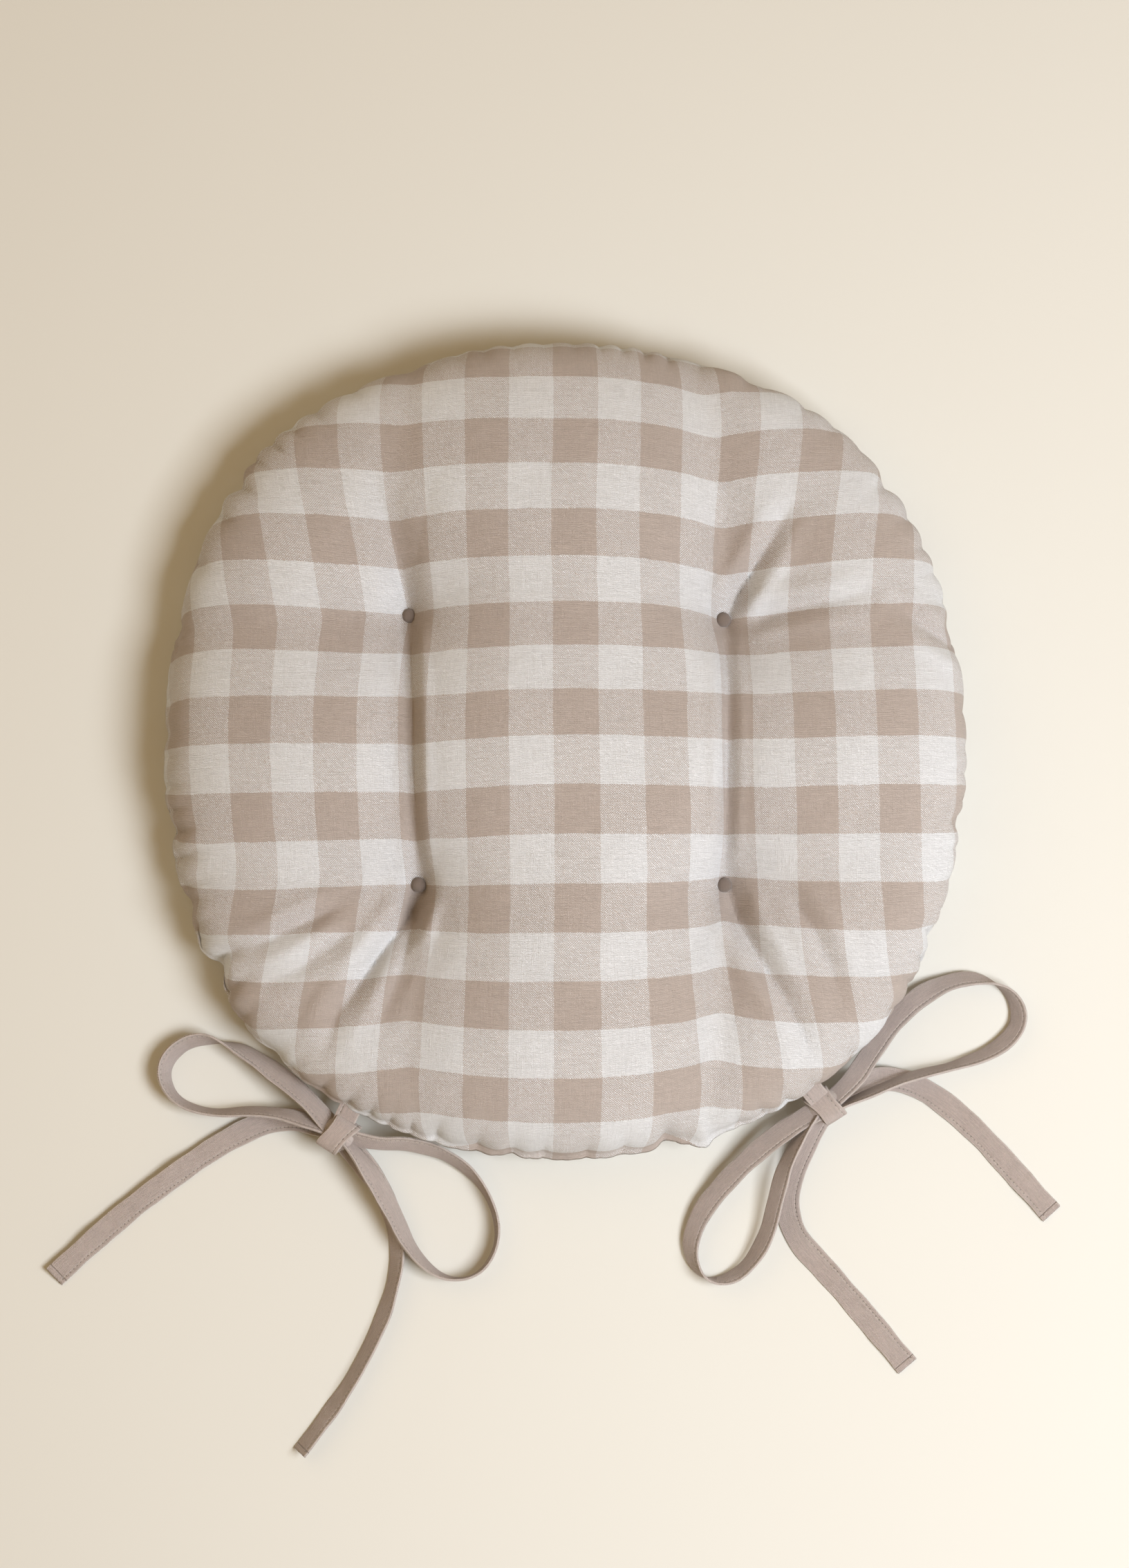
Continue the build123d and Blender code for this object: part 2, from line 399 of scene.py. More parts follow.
# The buttons' taupe cloth, darkened well below the tapes' taupe: painted shade, as the buttons sit
# sunk in their tufts.
SHADED_BUTTON_COLOUR = (0.2, 0.16, 0.135, 1.0)
BUTTON_YARN = 0.45


def button_cloth():
    n = Nodes("button_cloth", roughness=0.85, sheen=0.3)
    u, v = n.uv()
    _, height = weave(n, u, v, BUTTON_YARN)
    # Painted shade: the cloth is drawn dark for the shade in its tuft, and darker still in the gaps
    # between its yarns.
    colour = n.shade(SHADED_BUTTON_COLOUR, n.plus(n.times(height, 0.3), 0.8))
    return n.finish(colour, None, n.bump(height, 0.12))


def plain(name, colour, roughness, grain, depth):
    """A material with a fine grain of its own, for what is mostly out of sight."""
    n = Nodes(name, roughness=roughness)
    texture = n.tree.nodes.new("ShaderNodeTexCoord").outputs["Object"]
    speckle = n.noise(texture, 1 / (grain * MM), 3.0)
    grainy = n.shade(colour, n.vary(speckle, 0.2))
    gloss = n.times(n.vary(speckle, 0.1), roughness)
    return n.finish(grainy, gloss, n.bump(speckle, depth))


GINGHAM = gingham()
TAPE = tape()
BUTTON_CLOTH = button_cloth()
BUTTON_CORE = plain("button_core", (0.8, 0.79, 0.75, 1.0), 0.45, 2.0, 0.02)
THREAD = plain("thread", (0.5, 0.43, 0.36, 1.0), 0.8, 0.3, 0.05)
FIBRE = plain("fibre", (0.9, 0.9, 0.88, 1.0), 0.95, 1.5, 0.6)

# ---------- the ties

# The routes of the tapes, in millimetres. Loops start and end in their knot.
LOOPS = {
    "left_outer": [
        (-113, -190, 19), (-125, -175, 17), (-145, -159, 12), (-167, -145, 8), (-187, -143, 6.5),
        (-201, -157, 6.2), (-195, -174, 6.5), (-176, -181, 9), (-153, -179, 12), (-132, -182, 16),
        (-114, -190, 18),
    ],
    "left_inner": [
        (-110, -191, 19), (-96, -196, 18), (-76, -195, 13), (-53, -203, 8), (-37, -221, 6.2),
        (-32, -243, 6.2), (-42, -261, 6.2), (-60, -263, 7), (-76, -249, 9), (-86, -227, 13),
        (-97, -208, 17), (-108, -194, 18),
    ],
    "right_outer": [
        (130, -175, 20), (141, -166, 19), (150, -152, 15), (163, -134, 10), (180, -119, 7),
        (202, -112, 6.2), (221, -119, 6.2), (227, -135, 6.2), (215, -149, 6.5), (194, -157, 8),
        (171, -162, 11), (152, -170, 16), (133, -178, 18),
    ],
    "right_inner": [
        (126, -178, 20), (112, -186, 18), (97, -197, 14), (80, -213, 10), (66, -230, 7),
        (60, -249, 6.2), (69, -264, 6.2), (86, -261, 7), (99, -243, 10), (104, -221, 13),
        (110, -200, 17), (123, -181, 18),
    ],
}
# Tails start at the tape's stitched end and rise into their knot.
TAILS = {
    "left_outer": [
        (-253, -261, 0.7), (-223, -233, 0.7), (-191, -209, 0.7), (-169, -194, 0.7), (-148, -184, 2),
        (-129, -183, 7), (-113, -189, 13),
    ],
    "left_inner": [
        (-131, -347, 0.7), (-113, -324, 0.7), (-98, -299, 0.7), (-86, -271, 0.7), (-82, -246, 0.7),
        (-88, -223, 2), (-99, -206, 7), (-111, -192, 13),
    ],
    "right_outer": [
        (241, -230, 0.7), (223, -210, 0.7), (206, -191, 0.7), (186, -173, 0.7), (167, -163, 2),
        (147, -164, 7), (129, -176, 13),
    ],
    "right_inner": [
        (169, -305, 0.7), (149, -281, 0.7), (129, -258, 0.7), (112, -240, 0.7), (109, -219, 1.5),
        (117, -199, 6.5), (127, -179, 13),
    ],
}
# How each tape rolls: pairs of the share of its length and the turn in degrees. At 0 it lies flat
# with its face up, and at 90 it stands on edge with its face to the left of the way it runs.
ROLLS = {
    "left_outer_loop": [(0, 150), (0.2, 152), (0.3, 130), (0.36, 90), (0.42, 52), (0.5, 48),
                        (0.56, 62), (0.64, 76), (0.75, 66), (0.9, 55), (1, 60)],
    "left_inner_loop": [(0, 130), (0.15, 125), (0.3, 115), (0.42, 100), (0.55, 94), (0.66, 105),
                        (0.75, 125), (0.83, 148), (0.9, 140), (1, 110)],
    "right_outer_loop": [(0, 35), (0.1, 25), (0.3, 20), (0.42, 50), (0.47, 90), (0.53, 135),
                         (0.62, 132), (0.7, 118), (0.85, 112), (1, 110)],
    "right_inner_loop": [(0, 165), (0.1, 160), (0.35, 155), (0.45, 130), (0.52, 90), (0.58, 58),
                         (0.65, 50), (0.75, 46), (0.88, 55), (1, 70)],
    "left_outer_tail": [(0, -15), (0.5, -20), (0.8, -12), (1, 20)],
    "left_inner_tail": [(0, 52), (0.5, 56), (0.7, 48), (0.85, 22), (1, 0)],
    "right_outer_tail": [(0, -4), (0.4, 3), (0.7, 0), (0.85, 12), (1, 20)],
    "right_inner_tail": [(0, -3), (0.5, 4), (0.75, 8), (0.88, -10), (1, -15)],
}
# The tape's section: half of its outline, across and up, from the folded edge to the stitched one,
# where its two layers meet in a groove.
TAPE_WIDTH = 11.0
HALF_SECTION = [
    (-5.5, 0.0), (-5.38, 0.36), (-5.0, 0.56), (-4.2, 0.6), (-2.2, 0.63), (0.0, 0.64), (2.2, 0.62),
    (3.1, 0.56), (3.5, 0.44), (3.9, 0.55), (4.6, 0.62), (5.1, 0.58), (5.4, 0.42), (5.48, 0.2),
    (5.2, 0.0),
]
SECTION = np.array(HALF_SECTION + [(x, -z) for x, z in HALF_SECTION[-2:0:-1]])
HALF_THICKNESS = 0.64
STATION = 1.0  # how far apart a tape's cross-sections are
STITCHED_ON_LEFT = "right_outer_tail"  # the one tape with its stitched edge on the other side
TAIL_WIDTH = 1.07  # the tails lie flatter, so they are this much wider


def spline_points(route):
    """Points along the smooth curve that has the route as its control points, in millimetres."""
    data = bpy.data.curves.new("route", "CURVE")
    data.dimensions = "3D"
    data.resolution_u = 12
    spline = data.splines.new("NURBS")
    spline.points.add(len(route) - 1)
    for point, (x, y, z) in zip(spline.points, route):
        point.co = (x * MM, y * MM, z * MM, 1.0)
    spline.order_u = 3
    spline.use_endpoint_u = True
    curve = new_object("route", data)
    mesh = bpy.data.meshes.new_from_object(curve)
    points = np.array([vertex.co[:] for vertex in mesh.vertices]) / MM
    bpy.data.objects.remove(curve)
    bpy.data.curves.remove(data)
    bpy.data.meshes.remove(mesh)
    return points


def even_stations(points, step):
    """The same line with its points evenly spaced, about step apart, and how far along each is."""
    runs = np.linalg.norm(np.diff(points, axis=0), axis=1)
    along = np.concatenate([[0], np.cumsum(runs)])
    stations = np.linspace(0, along[-1], max(2, round(along[-1] / step)) + 1)
    return np.stack([np.interp(stations, along, points[:, k]) for k in range(3)], axis=1), stations


def strip_mesh(name, line, across, up, along, closed=False, width=1.0, stitch_side=1):
    """A tape whose section is carried along a line, with across and up given at each station.
    With a stitch_side of -1, its stitched edge is on the other side.
    """
    outline = SECTION * (stitch_side, 1.0)
    rings = (
        line[:, None, :]
        + across[:, None, :] * outline[None, :, :1] * np.reshape(width, (-1, 1, 1))
        + up[:, None, :] * outline[None, :, 1:]
    )
    count, size = len(line), len(outline)
    points = rings.reshape(-1, 3)
    uv = np.stack([np.repeat(along, size), np.tile(SECTION[:, 0], count)], axis=1)
    faces = ring_quads(count, size, closed).tolist()
    if not closed:
        faces += [list(range(size))[::-1], list(range((count - 1) * size, count * size))]
    if stitch_side < 0:
        faces = [face[::-1] for face in faces]
    return new_mesh(name, points, faces, uv, TAPE)


def lay_tape(name, route, rolls):
    """A tape along its route, rolled as the pairs in rolls say, and never below the floor."""
    line, along = even_stations(spline_points(route), STATION)
    share = along / along[-1]
    roll = np.radians(np.interp(share, [s for s, _ in rolls], [r for _, r in rolls]))
    roll = np.convolve(np.pad(roll, 6, mode="edge"), np.ones(13) / 13, mode="valid")
    # Small waves in the roll and the width, different for each tape.
    wave = np.sin(along / 9.0 + len(name)) + 0.6 * np.sin(along / 4.3 + 2 * len(name))
    roll += np.radians(2.5) * wave
    need = TAPE_WIDTH / 2 * np.abs(np.sin(roll)) + HALF_THICKNESS * np.abs(np.cos(roll)) + 0.05
    line[:, 2] = np.maximum(line[:, 2], need)
    ahead = unit(np.gradient(line, axis=0))
    left, top = beside(ahead)
    face = np.cos(roll)[:, None] * top + np.sin(roll)[:, None] * left
    across = np.cross(ahead, face)
    width = TAIL_WIDTH if name.endswith("tail") else 1.0
    width += 0.03 * np.sin(along / 6.5 + len(name)) + 0.02 * np.sin(along / 2.9 + 2 * len(name))
    side = -1 if name == STITCHED_ON_LEFT else 1
    return strip_mesh(name, line, across, face, along, width=width, stitch_side=side), line


# Each knot: its size along and across the bow and its height, the bow's heading, the width of the
# band that wraps it, and how far the band leans.
KNOT_SHAPES = {
    "left": ((14.0, 19.0, 13.0), math.radians(-33.0), 12.5, 3.0),
    "right": ((15.0, 18.0, 12.0), math.radians(32.0), 12.5, -3.0),
}
KNOT_ROUNDNESS = 0.92  # below 1, the band's oval is squarer than an ellipse
WRAP_LENGTH = 48.0  # once round the knot


def wrap_knot(side, size, heading, band, lean):
    """The tape that wraps a bow's middle: a closed band round a flattened oval."""
    centre = middle(f"{side}_bow_knot")
    axis = np.array([math.cos(heading), math.sin(heading), 0.0])
    wide = np.array([-axis[1], axis[0], 0.0])
    high = np.array([0.0, 0.0, 1.0])
    turns = round_turn(72)
    cos, sin = np.cos(turns), np.sin(turns)
    x = np.sign(cos) * np.abs(cos) ** KNOT_ROUNDNESS * (size[1] / 2 - 0.6)
    z = np.sign(sin) * np.abs(sin) ** KNOT_ROUNDNESS * (size[2] / 2 - 0.6)
    line = centre + wide * x[:, None] + high * z[:, None]
    line = line + axis * (lean * x / size[1])[:, None]
    ahead = unit(np.roll(line, -1, axis=0) - np.roll(line, 1, axis=0))
    out = unit(np.cross(ahead, axis[None]))
    across = unit(np.cross(out, ahead))
    width = band / TAPE_WIDTH * (1 + 0.10 * np.cos(turns + 0.6) + 0.05 * np.sin(3 * turns))
    along = turns / (2 * math.pi) * WRAP_LENGTH
    return strip_mesh(f"{side}_bow_wrap", line, across, -out, along, closed=True, width=width)


def knot_core(side, size, heading):
    """What the wrap holds: the tapes that cross inside it, as one rounded lump with soft folds."""
    centre = middle(f"{side}_bow_knot")
    rings, segments = 15, 28
    points, uv = [], []
    for tip in np.linspace(0, math.pi, rings):
        for turn in round_turn(segments):
            fold = 1 + 0.10 * math.cos(3 * turn + 1.0)
            x = math.cos(tip) * (size[0] / 2 + 1.0)
            y = math.sin(tip) ** 0.7 * math.cos(turn) * (size[1] / 2 - 2.2) * fold
            z = math.sin(tip) ** 0.7 * math.sin(turn) * (size[2] / 2 - 2.0) * fold
            cos, sin = math.cos(heading), math.sin(heading)
            points.append(centre + (x * cos - y * sin, x * sin + y * cos, z))
            uv.append((x, turn * 3.0 - 9.0))
    faces = ring_quads(rings, segments)[:, FLIPPED].tolist()
    return new_mesh(f"{side}_bow_core", points, faces, uv, TAPE)


def build_ties():
    """Loops and tails, then the knots they come from."""
    made = {}
    for routes, kind, far_end in ((LOOPS, "loop", "knot"), (TAILS, "tail", "bare")):
        for key, route in routes.items():
            side, which = key.split("_")
            name = f"{key}_{kind}"
            piece, line = lay_tape(name, route, ROLLS[name])
            if kind == "tail":
                line = line[::-1]
            made[name] = (piece, line, far_end, f"{side}_bow_{kind}_{which}")
    for side, (size, heading, band, lean) in KNOT_SHAPES.items():
        wrap = wrap_knot(side, size, heading, band, lean)
        core = knot_core(side, size, heading)
        finish_piece(wrap, "tape", f"{side}_bow_knot")
        finish_piece(core, "tape")
    for name, (piece, line, far_end, node) in made.items():
        finish_piece(piece, "tape", node)


build_ties()

# ---------- the cloth simulation

FLAT_RADIUS = 227.0  # of each panel, before it is sewn and filled
FLAT_SHARE = 0.975  # the panel's front-to-rear radius as a share of that
BENDING = (0.0008, 0.006)  # how stiff the cloth is across the panel, and from front to rear
SQUEEZE = 0.0005  # how much the yarns resist being pushed together, beside 1 for being pulled
BIAS = 0.03  # how much the cloth resists being pulled on the bias
GATHER = 0.872  # how much the seam draws in the panels' edge
# Where each button goes through the flat panel, which the filling then takes up.
TUFTS_ON_PANEL = {
    "front_left": (-93.5, 66.0),
    "front_right": (86.3, 65.7),
    "rear_left": (-90.6, -73.0),
    "rear_right": (83.9, -76.0),
}
LOFT = 77.0  # how thick the filling would be with nothing round it
PRESSURE = 0.01  # how far the filling pushes the cloth in one step, where it is squashed flat
WEIGHT = 0.0004  # how far the cloth drops in one step
DAMPING = 0.97
SEAM_STIFFNESS = 0.05
CENTRING = 0.02  # the share of its drift that the seam takes back in one step
# Lines where the filling parts and the cloth folds: start, end, how much less filling, half width.
FOLDS = [
    ((-93, 66), (-125, 178), 0.35, 9),
    ((-93, 66), (-220, 62), -0.25, 24),
    ((-91, -73), (-220, -66), -0.20, 18),
    ((-91, -73), (-135, -160), 0.40, 12),
    ((-91, -73), (-190, -122), 0.35, 9),
    ((86, 66), (135, 132), 0.40, 9),
    ((86, 66), (215, 46), 0.30, 9),
    ((84, -76), (118, -165), 0.40, 9),
    ((84, -76), (150, -140), 0.25, 9),
]
LEVELS = [(16, 800), (32, 800), (64, 600), (96, 500)]  # cells across the panel, and steps


def beside_line(places, start, way):
    """How far along a line each place is, from 0 to 1, and how far off it."""
    share = np.clip((places - start) @ way / (way @ way), 0, 1)
    return share, np.linalg.norm(places - start - share[..., None] * way, axis=-1)


def on_disc(a, b):
    """Where a point of the square grid, from -1 to 1, lies on the flat round panel."""
    u = a * np.sqrt(1 - b * b / 2)
    v = b * np.sqrt(1 - a * a / 2)
    return np.stack([u, v * FLAT_SHARE], axis=-1) * FLAT_RADIUS


def radius_share(flat):
    """How far out each point of the flat panel is, from 0 at its middle to 1 at its edge."""
    return np.hypot(flat[..., 0], flat[..., 1] / FLAT_SHARE) / FLAT_RADIUS


def on_grid(u, v):
    """The reverse of on_disc."""
    u, v = u / FLAT_RADIUS, v / FLAT_RADIUS / FLAT_SHARE
    both = []
    for base, reach in ((2 + u * u - v * v, u), (2 - u * u + v * v, v)):
        reach *= 2 * math.sqrt(2)
        both.append((math.sqrt(max(0, base + reach)) - math.sqrt(max(0, base - reach))) / 2)
    return both


def spread(cells, places):
    """The matrix that carries values on a line of cells to other places on it, smoothly."""
    at = (np.asarray(places) + 1) / 2 * cells
    first = np.clip(at.astype(int), 0, cells - 1)
    f = at - first
    weights = (
        -0.5 * f + f**2 - 0.5 * f**3,
        1 - 2.5 * f**2 + 1.5 * f**3,
        0.5 * f + 2 * f**2 - 1.5 * f**3,
        -0.5 * f**2 + 0.5 * f**3,
    )
    matrix = np.zeros((len(at), cells + 1))
    rows = np.arange(len(at))
    for offset, weight in zip((-1, 0, 1, 2), weights):
        node = first + offset
        for end, inner, past in ((0, 1, node < 0), (cells, cells - 1, node > cells)):
            matrix[rows[past], end] += 2 * weight[past]
            matrix[rows[past], inner] -= weight[past]
        inside = (node >= 0) & (node <= cells)
        matrix[rows[inside], node[inside]] += weight[inside]
    return matrix


def resample(points, places):
    matrix = spread(points.shape[1] - 1, places)
    return np.einsum("bj,sajc->sabc", matrix, np.einsum("ai,sijc->sajc", matrix, points))


def rim_indices(cells):
    """The grid's edge as one closed loop."""
    k = np.arange(cells)
    zero, full = np.zeros(cells, int), np.full(cells, cells)
    return np.concatenate([k, full, cells - k, zero]), np.concatenate([zero, k, full, cells - k])


def outward(points):
    """Unit normals that point out of the pad, for both panels."""
    normals = np.cross(np.gradient(points, axis=1), np.gradient(points, axis=2))
    normals /= np.linalg.norm(normals, axis=-1, keepdims=True) + 1e-9
    normals[1] *= -1
    return normals


class Panels:
    """Both panels at one resolution: points[0] is the top one and points[1] the bottom one."""

    def __init__(self, points, tufts, coarse):
        self.points = points
        self.cells = points.shape[1] - 1
        self.force = coarse / self.cells
        line = np.linspace(-1, 1, self.cells + 1)
        self.flat = on_disc(*np.meshgrid(line, line, indexing="ij"))
        self.rim = rim_indices(self.cells)
        edge = self.flat[self.rim]
        self.rim_lengths = np.linalg.norm(np.roll(edge, -1, axis=0) - edge, axis=1) * GATHER
        self.links = []
        # Yarns don't stretch and hardly resist being pushed together. On the bias, cloth is slack.
        for step, stretch in (((1, 0), 1.0), ((0, 1), 1.0), ((1, 1), BIAS), ((1, -1), BIAS)):
            for parity in (0, 1):
                self.links.append((*self.link(step, parity), stretch, SQUEEZE))
        self.tufts = [self.tuft(*tuft) for tuft in tufts]
        self.loft = self.filling()

    def link(self, step, parity):
        """Every second link of one direction, so that no point is in two of them."""
        rows = np.arange(self.cells + 1 - step[0])
        columns = np.arange(self.cells + 1 - abs(step[1]))
        if step[0]:
            rows = rows[parity::2]
        else:
            columns = columns[parity::2]
        near = columns + max(0, -step[1])
        far = near + step[1]
        here, there = np.ix_([0, 1], rows, near), np.ix_([0, 1], rows + step[0], far)
        rest = self.flat[np.ix_(rows + step[0], far)] - self.flat[np.ix_(rows, near)]
        return here, there, np.linalg.norm(rest, axis=-1)[None]

    def tuft(self, place, top, bottom):
        """The four points about a tuft, their shares, and where its two ends are held."""
        a, b = on_grid(*place)
        x, y = (a + 1) / 2 * self.cells, (b + 1) / 2 * self.cells
        i, j = int(x), int(y)
        s, t = x - i, y - j
        shares = np.array([(1 - s) * (1 - t), s * (1 - t), (1 - s) * t, s * t])[:, None]
        ends = (np.array(top), np.array(bottom))
        return [i, i + 1, i, i + 1], [j, j, j + 1, j + 1], shares, ends

    def filling(self):
        """How thick the filling would be at each point: lumpy, and less in the folds."""
        u, v = self.flat[..., 0], self.flat[..., 1]
        lumps = np.cos(u / 31 + 1.3) * np.cos(v / 37 - 0.4) + 0.6 * np.cos(u / 17 - v / 23 + 2)
        loft = LOFT * (1 + 0.03 * lumps)
        for start, end, less, half_width in FOLDS:
            start, end = np.array(start), np.array(end)
            share, off = beside_line(self.flat, start, end - start)
            loft *= 1 - less * (1 - 0.6 * share) * np.exp(-((off / half_width) ** 2))
        return loft

    def step(self, before):
        """One step in time. Returns the points as they were."""
        points = self.points
        now = points.copy()
        thickness = points[0, ..., 2] - points[1, ..., 2]
        push = PRESSURE * self.force * np.clip(1 - thickness / self.loft, 0, 2)
        points = points + (points - before) * DAMPING + outward(points) * push[None, ..., None]
        points[..., 2] -= WEIGHT * self.force
        points = self.bend(points)
        for here, there, rest, stretch, squeeze in self.links:
            gap = points[there] - points[here]
            length = np.sqrt((gap * gap).sum(-1)) + 1e-9
            error = (length - rest) / length
            gap *= (error * np.where(error > 0, stretch, squeeze) / 2)[..., None]
            points[here] += gap
            points[there] -= gap
        self.sew(points)
        for rows, columns, shares, ends in self.tufts:
            for side in (0, 1):
                error = ends[side] - (points[side][rows, columns] * shares).sum(0)
                points[side][rows, columns] += shares * error / (shares**2).sum()
        below = points[..., 2] < 0
        points[..., 2][below] = 0
        for axis in (0, 1):
            points[..., axis][below] = (points[..., axis][below] + now[..., axis][below]) / 2
        self.points = points
        return now

    def bend(self, points):
        """Cloth resists being bent: each point moves towards the middle of its neighbours."""
        for axis, stiffness in zip((1, 2), BENDING):
            moved = np.swapaxes(points, 1, axis)
            pull = stiffness * (moved[:, :-2] + moved[:, 2:] - 2 * moved[:, 1:-1])
            moved[:, 1:-1] += pull
            moved[:, :-2] -= pull / 2
            moved[:, 2:] -= pull / 2
        return points

    def sew(self, points):
        """The seam joins the panels' edges, keeps its length and stays centred."""
        rows, columns = self.rim
        seam = (points[0][rows, columns] + points[1][rows, columns]) / 2
        count = len(seam)
        for _ in range(2):
            for parity in (0, 1):
                here = np.arange(parity, count, 2)
                there = (here + 1) % count
                gap = seam[there] - seam[here]
                length = np.linalg.norm(gap, axis=1)
                gap *= ((length - self.rim_lengths[here]) / length / 2)[:, None]
                seam[here] += gap
                seam[there] -= gap
        curl = (np.roll(seam, 1, axis=0) + np.roll(seam, -1, axis=0)) / 2 - seam
        seam += SEAM_STIFFNESS * (curl - (np.roll(curl, 1, axis=0) + np.roll(curl, -1, axis=0)) / 2)
        seam[:, :2] -= CENTRING * seam[:, :2].mean(axis=0)
        points[0][rows, columns] = seam
        points[1][rows, columns] = seam


def simulate():
    """The two panels, sewn, filled and tufted, on a square grid of points."""
    tufts = []
    for name, place in TUFTS_ON_PANEL.items():
        x, y, _ = middle(f"top_button_cover_{name}")
        top_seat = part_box(f"top_button_cover_{name}")[0][2] / MM
        bottom_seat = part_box(f"bottom_button_cover_{name}")[1][2] / MM
        tufts.append((place, (x, y, top_seat), (x, y, bottom_seat)))
    seam_height = middle("seam_stitching")[2]
    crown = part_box("top_cover")[1][2] / MM
    coarse = LEVELS[0][0]
    line = np.linspace(-1, 1, coarse + 1)
    flat = on_disc(*np.meshgrid(line, line, indexing="ij"))
    dome = np.sqrt(np.clip(1 - radius_share(flat) ** 2, 0, 1))
    points = np.zeros((2, coarse + 1, coarse + 1, 3))
    points[..., :2] = flat * GATHER
    points[0, ..., 2] = seam_height + (crown - seam_height) * dome
    points[1, ..., 2] = seam_height * (1 - dome)
    for cells, steps in LEVELS:
        points = resample(points, np.linspace(-1, 1, cells + 1))
        panels = Panels(points, tufts, coarse)
        before = panels.points.copy()
        for _ in range(steps):
            before = panels.step(before)
        points = panels.points
    return points


# ---------- the covers

RIM_BAND = 0.07  # the share of the panel's radius, at its edge, that has a finer grid
RIM_CELLS = 12
MIDDLE_CELLS = 216
PUCKERS = 74
PUCKER_HEIGHT = 4.0
PUCKER_REACH = 17.0  # how far in from the seam the gathers go
SEAM_ALLOWANCE = 4.0  # how far each panel's edge is turned in
LIP = 2.6  # how far the seam's ridge stands out
LIP_REACH = 2.2
LIP_HALF_THICKNESS = 0.7
LIP_WAVE = (1.9, 2.2)  # how much the ridge waves in and out, and up and down


def pucker_wave(angle, shift):
    """The gathers along the seam: round ridges with sharp valleys, unevenly spaced."""
    phase = PUCKERS / 2 * angle + 2.2 * np.sin(3 * angle + shift)
    phase = phase + 1.4 * np.sin(7 * angle + 2 * shift)
    ridges = np.abs(np.sin(phase + 0.8 * np.sin(13 * angle + shift))) ** 0.7
    strength = 0.65 + 0.35 * np.sin(5 * angle + shift) * np.sin(11 * angle - shift)
    return (ridges - 0.6) * strength


# The small sharp folds: each one's line, seen from above, most of them from a button outwards, its
# depth where it starts and its width. Each fades out towards its end.
CREASES = [
    ([(-71, -69), (-77, -85), (-91, -105), (-110, -132), (-118, -155)], 9.0, 3.8),
    ([(-71, -72), (-75, -93), (-85, -124), (-91, -142)], 5.0, 3.0),
    ([(-108, -80), (-122, -86), (-147, -99), (-172, -106)], 5.0, 3.2),
    ([(-104, -92), (-130, -112), (-158, -124)], 3.0, 3.0),
    ([(-192, -88), (-172, -96), (-155, -102)], 6.0, 3.2),
    ([(-178, -118), (-160, -118), (-146, -112)], 5.0, 3.0),
    ([(79, -68), (85, -87), (96, -108), (110, -131), (124, -160)], 8.0, 3.8),
    ([(108, -74), (120, -90), (130, -112), (137, -134)], 4.0, 3.4),
    ([(79, 62), (86, 76), (92, 85), (105, 107), (114, 121)], 8.0, 3.6),
    ([(86, 61), (115, 66), (142, 71), (157, 75)], 5.0, 3.4),
    ([(200, 42), (187, 50), (173, 58), (157, 70)], 6.5, 3.4),
    ([(-77, 64), (-81, 82), (-86, 106), (-97, 140)], 3.0, 4.6),
    ([(-74, 84), (-70, 108), (-64, 132)], 1.4, 4.0),
    ([(-77, 60), (-75, 30), (-74, -10), (-73, -45)], 3.6, 2.4),
    ([(-72, -65), (-73, -45), (-74, 0), (-75, 40)], 3.0, 2.4),
    ([(78, 58), (79, 30), (79, -10), (78, -45)], 3.0, 2.4),
    ([(78, -65), (78, -45), (79, 0), (79, 40)], 3.6, 2.4),
]


# The cloth swells beside a fold: how far off and how wide, in widths of the fold, and how high.
SHOULDER_OUT = 2.6
SHOULDER_WIDTH = 1.3
SHOULDER_HEIGHT = 0.45


def crease_depth(places):
    """How far the creases draw the cloth in at each place, seen from above."""
    total = np.zeros(places.shape[:-1])  # a valley between two low shoulders
    for line, depth, width in CREASES:
        line = np.array(line, dtype=float)
        runs = np.linalg.norm(np.diff(line, axis=0), axis=1)
        begun = np.concatenate([[0], np.cumsum(runs)])
        nearest = np.full(total.shape, np.inf)
        along = np.zeros(total.shape)
        for start, way, length, past in zip(line, np.diff(line, axis=0), runs, begun):
            share, off = beside_line(places, start, way)
            along = np.where(off < nearest, (past + share * length) / begun[-1], along)
            nearest = np.minimum(off, nearest)
        strength = depth * np.minimum(1, 6 * along + 0.15) * (1 - along**2)
        valley = np.exp(-nearest / width)
        off_shoulder = nearest - SHOULDER_OUT * width
        shoulder = np.exp(-((off_shoulder / (SHOULDER_WIDTH * width)) ** 2))
        total += strength * (valley - SHOULDER_HEIGHT * shoulder)
    return total


# Places where the seam is drawn in: the angle from the right, in degrees, the depth and the half
# width in degrees. At the last one it stands out as a little ear.
DENTS = [
    (16, 4.5, 1.8), (-11, 4.0, 1.8), (38, 3.0, 1.6), (-27, 3.0, 1.6), (62, 2.5, 1.6),
    (112, 2.5, 1.6), (141, 3.0, 1.6), (163, 3.0, 1.6), (178, 2.5, 1.5), (191, 3.5, 1.7),
    (202, 4.5, 1.8), (212, 7.0, 2.0), (226, 3.0, 1.6), (262, 3.0, 1.5), (284, 3.5, 1.5),
    (289, -5.0, 1.6),
]
DENT_REACH = 22.0  # how far in from the seam a dent goes
LEFT_REACH = 4.6  # the left edge lies this much further out
LEAST_THICKNESS = 6.0  # of the pad, under a fold


def on_left(x):
    """0 from the left buttons rightwards, rising smoothly to 1 at the left edge."""
    share = np.clip((-80.0 - x) / 110.0, 0, 1)
    return share * share * (3 - 2 * share)


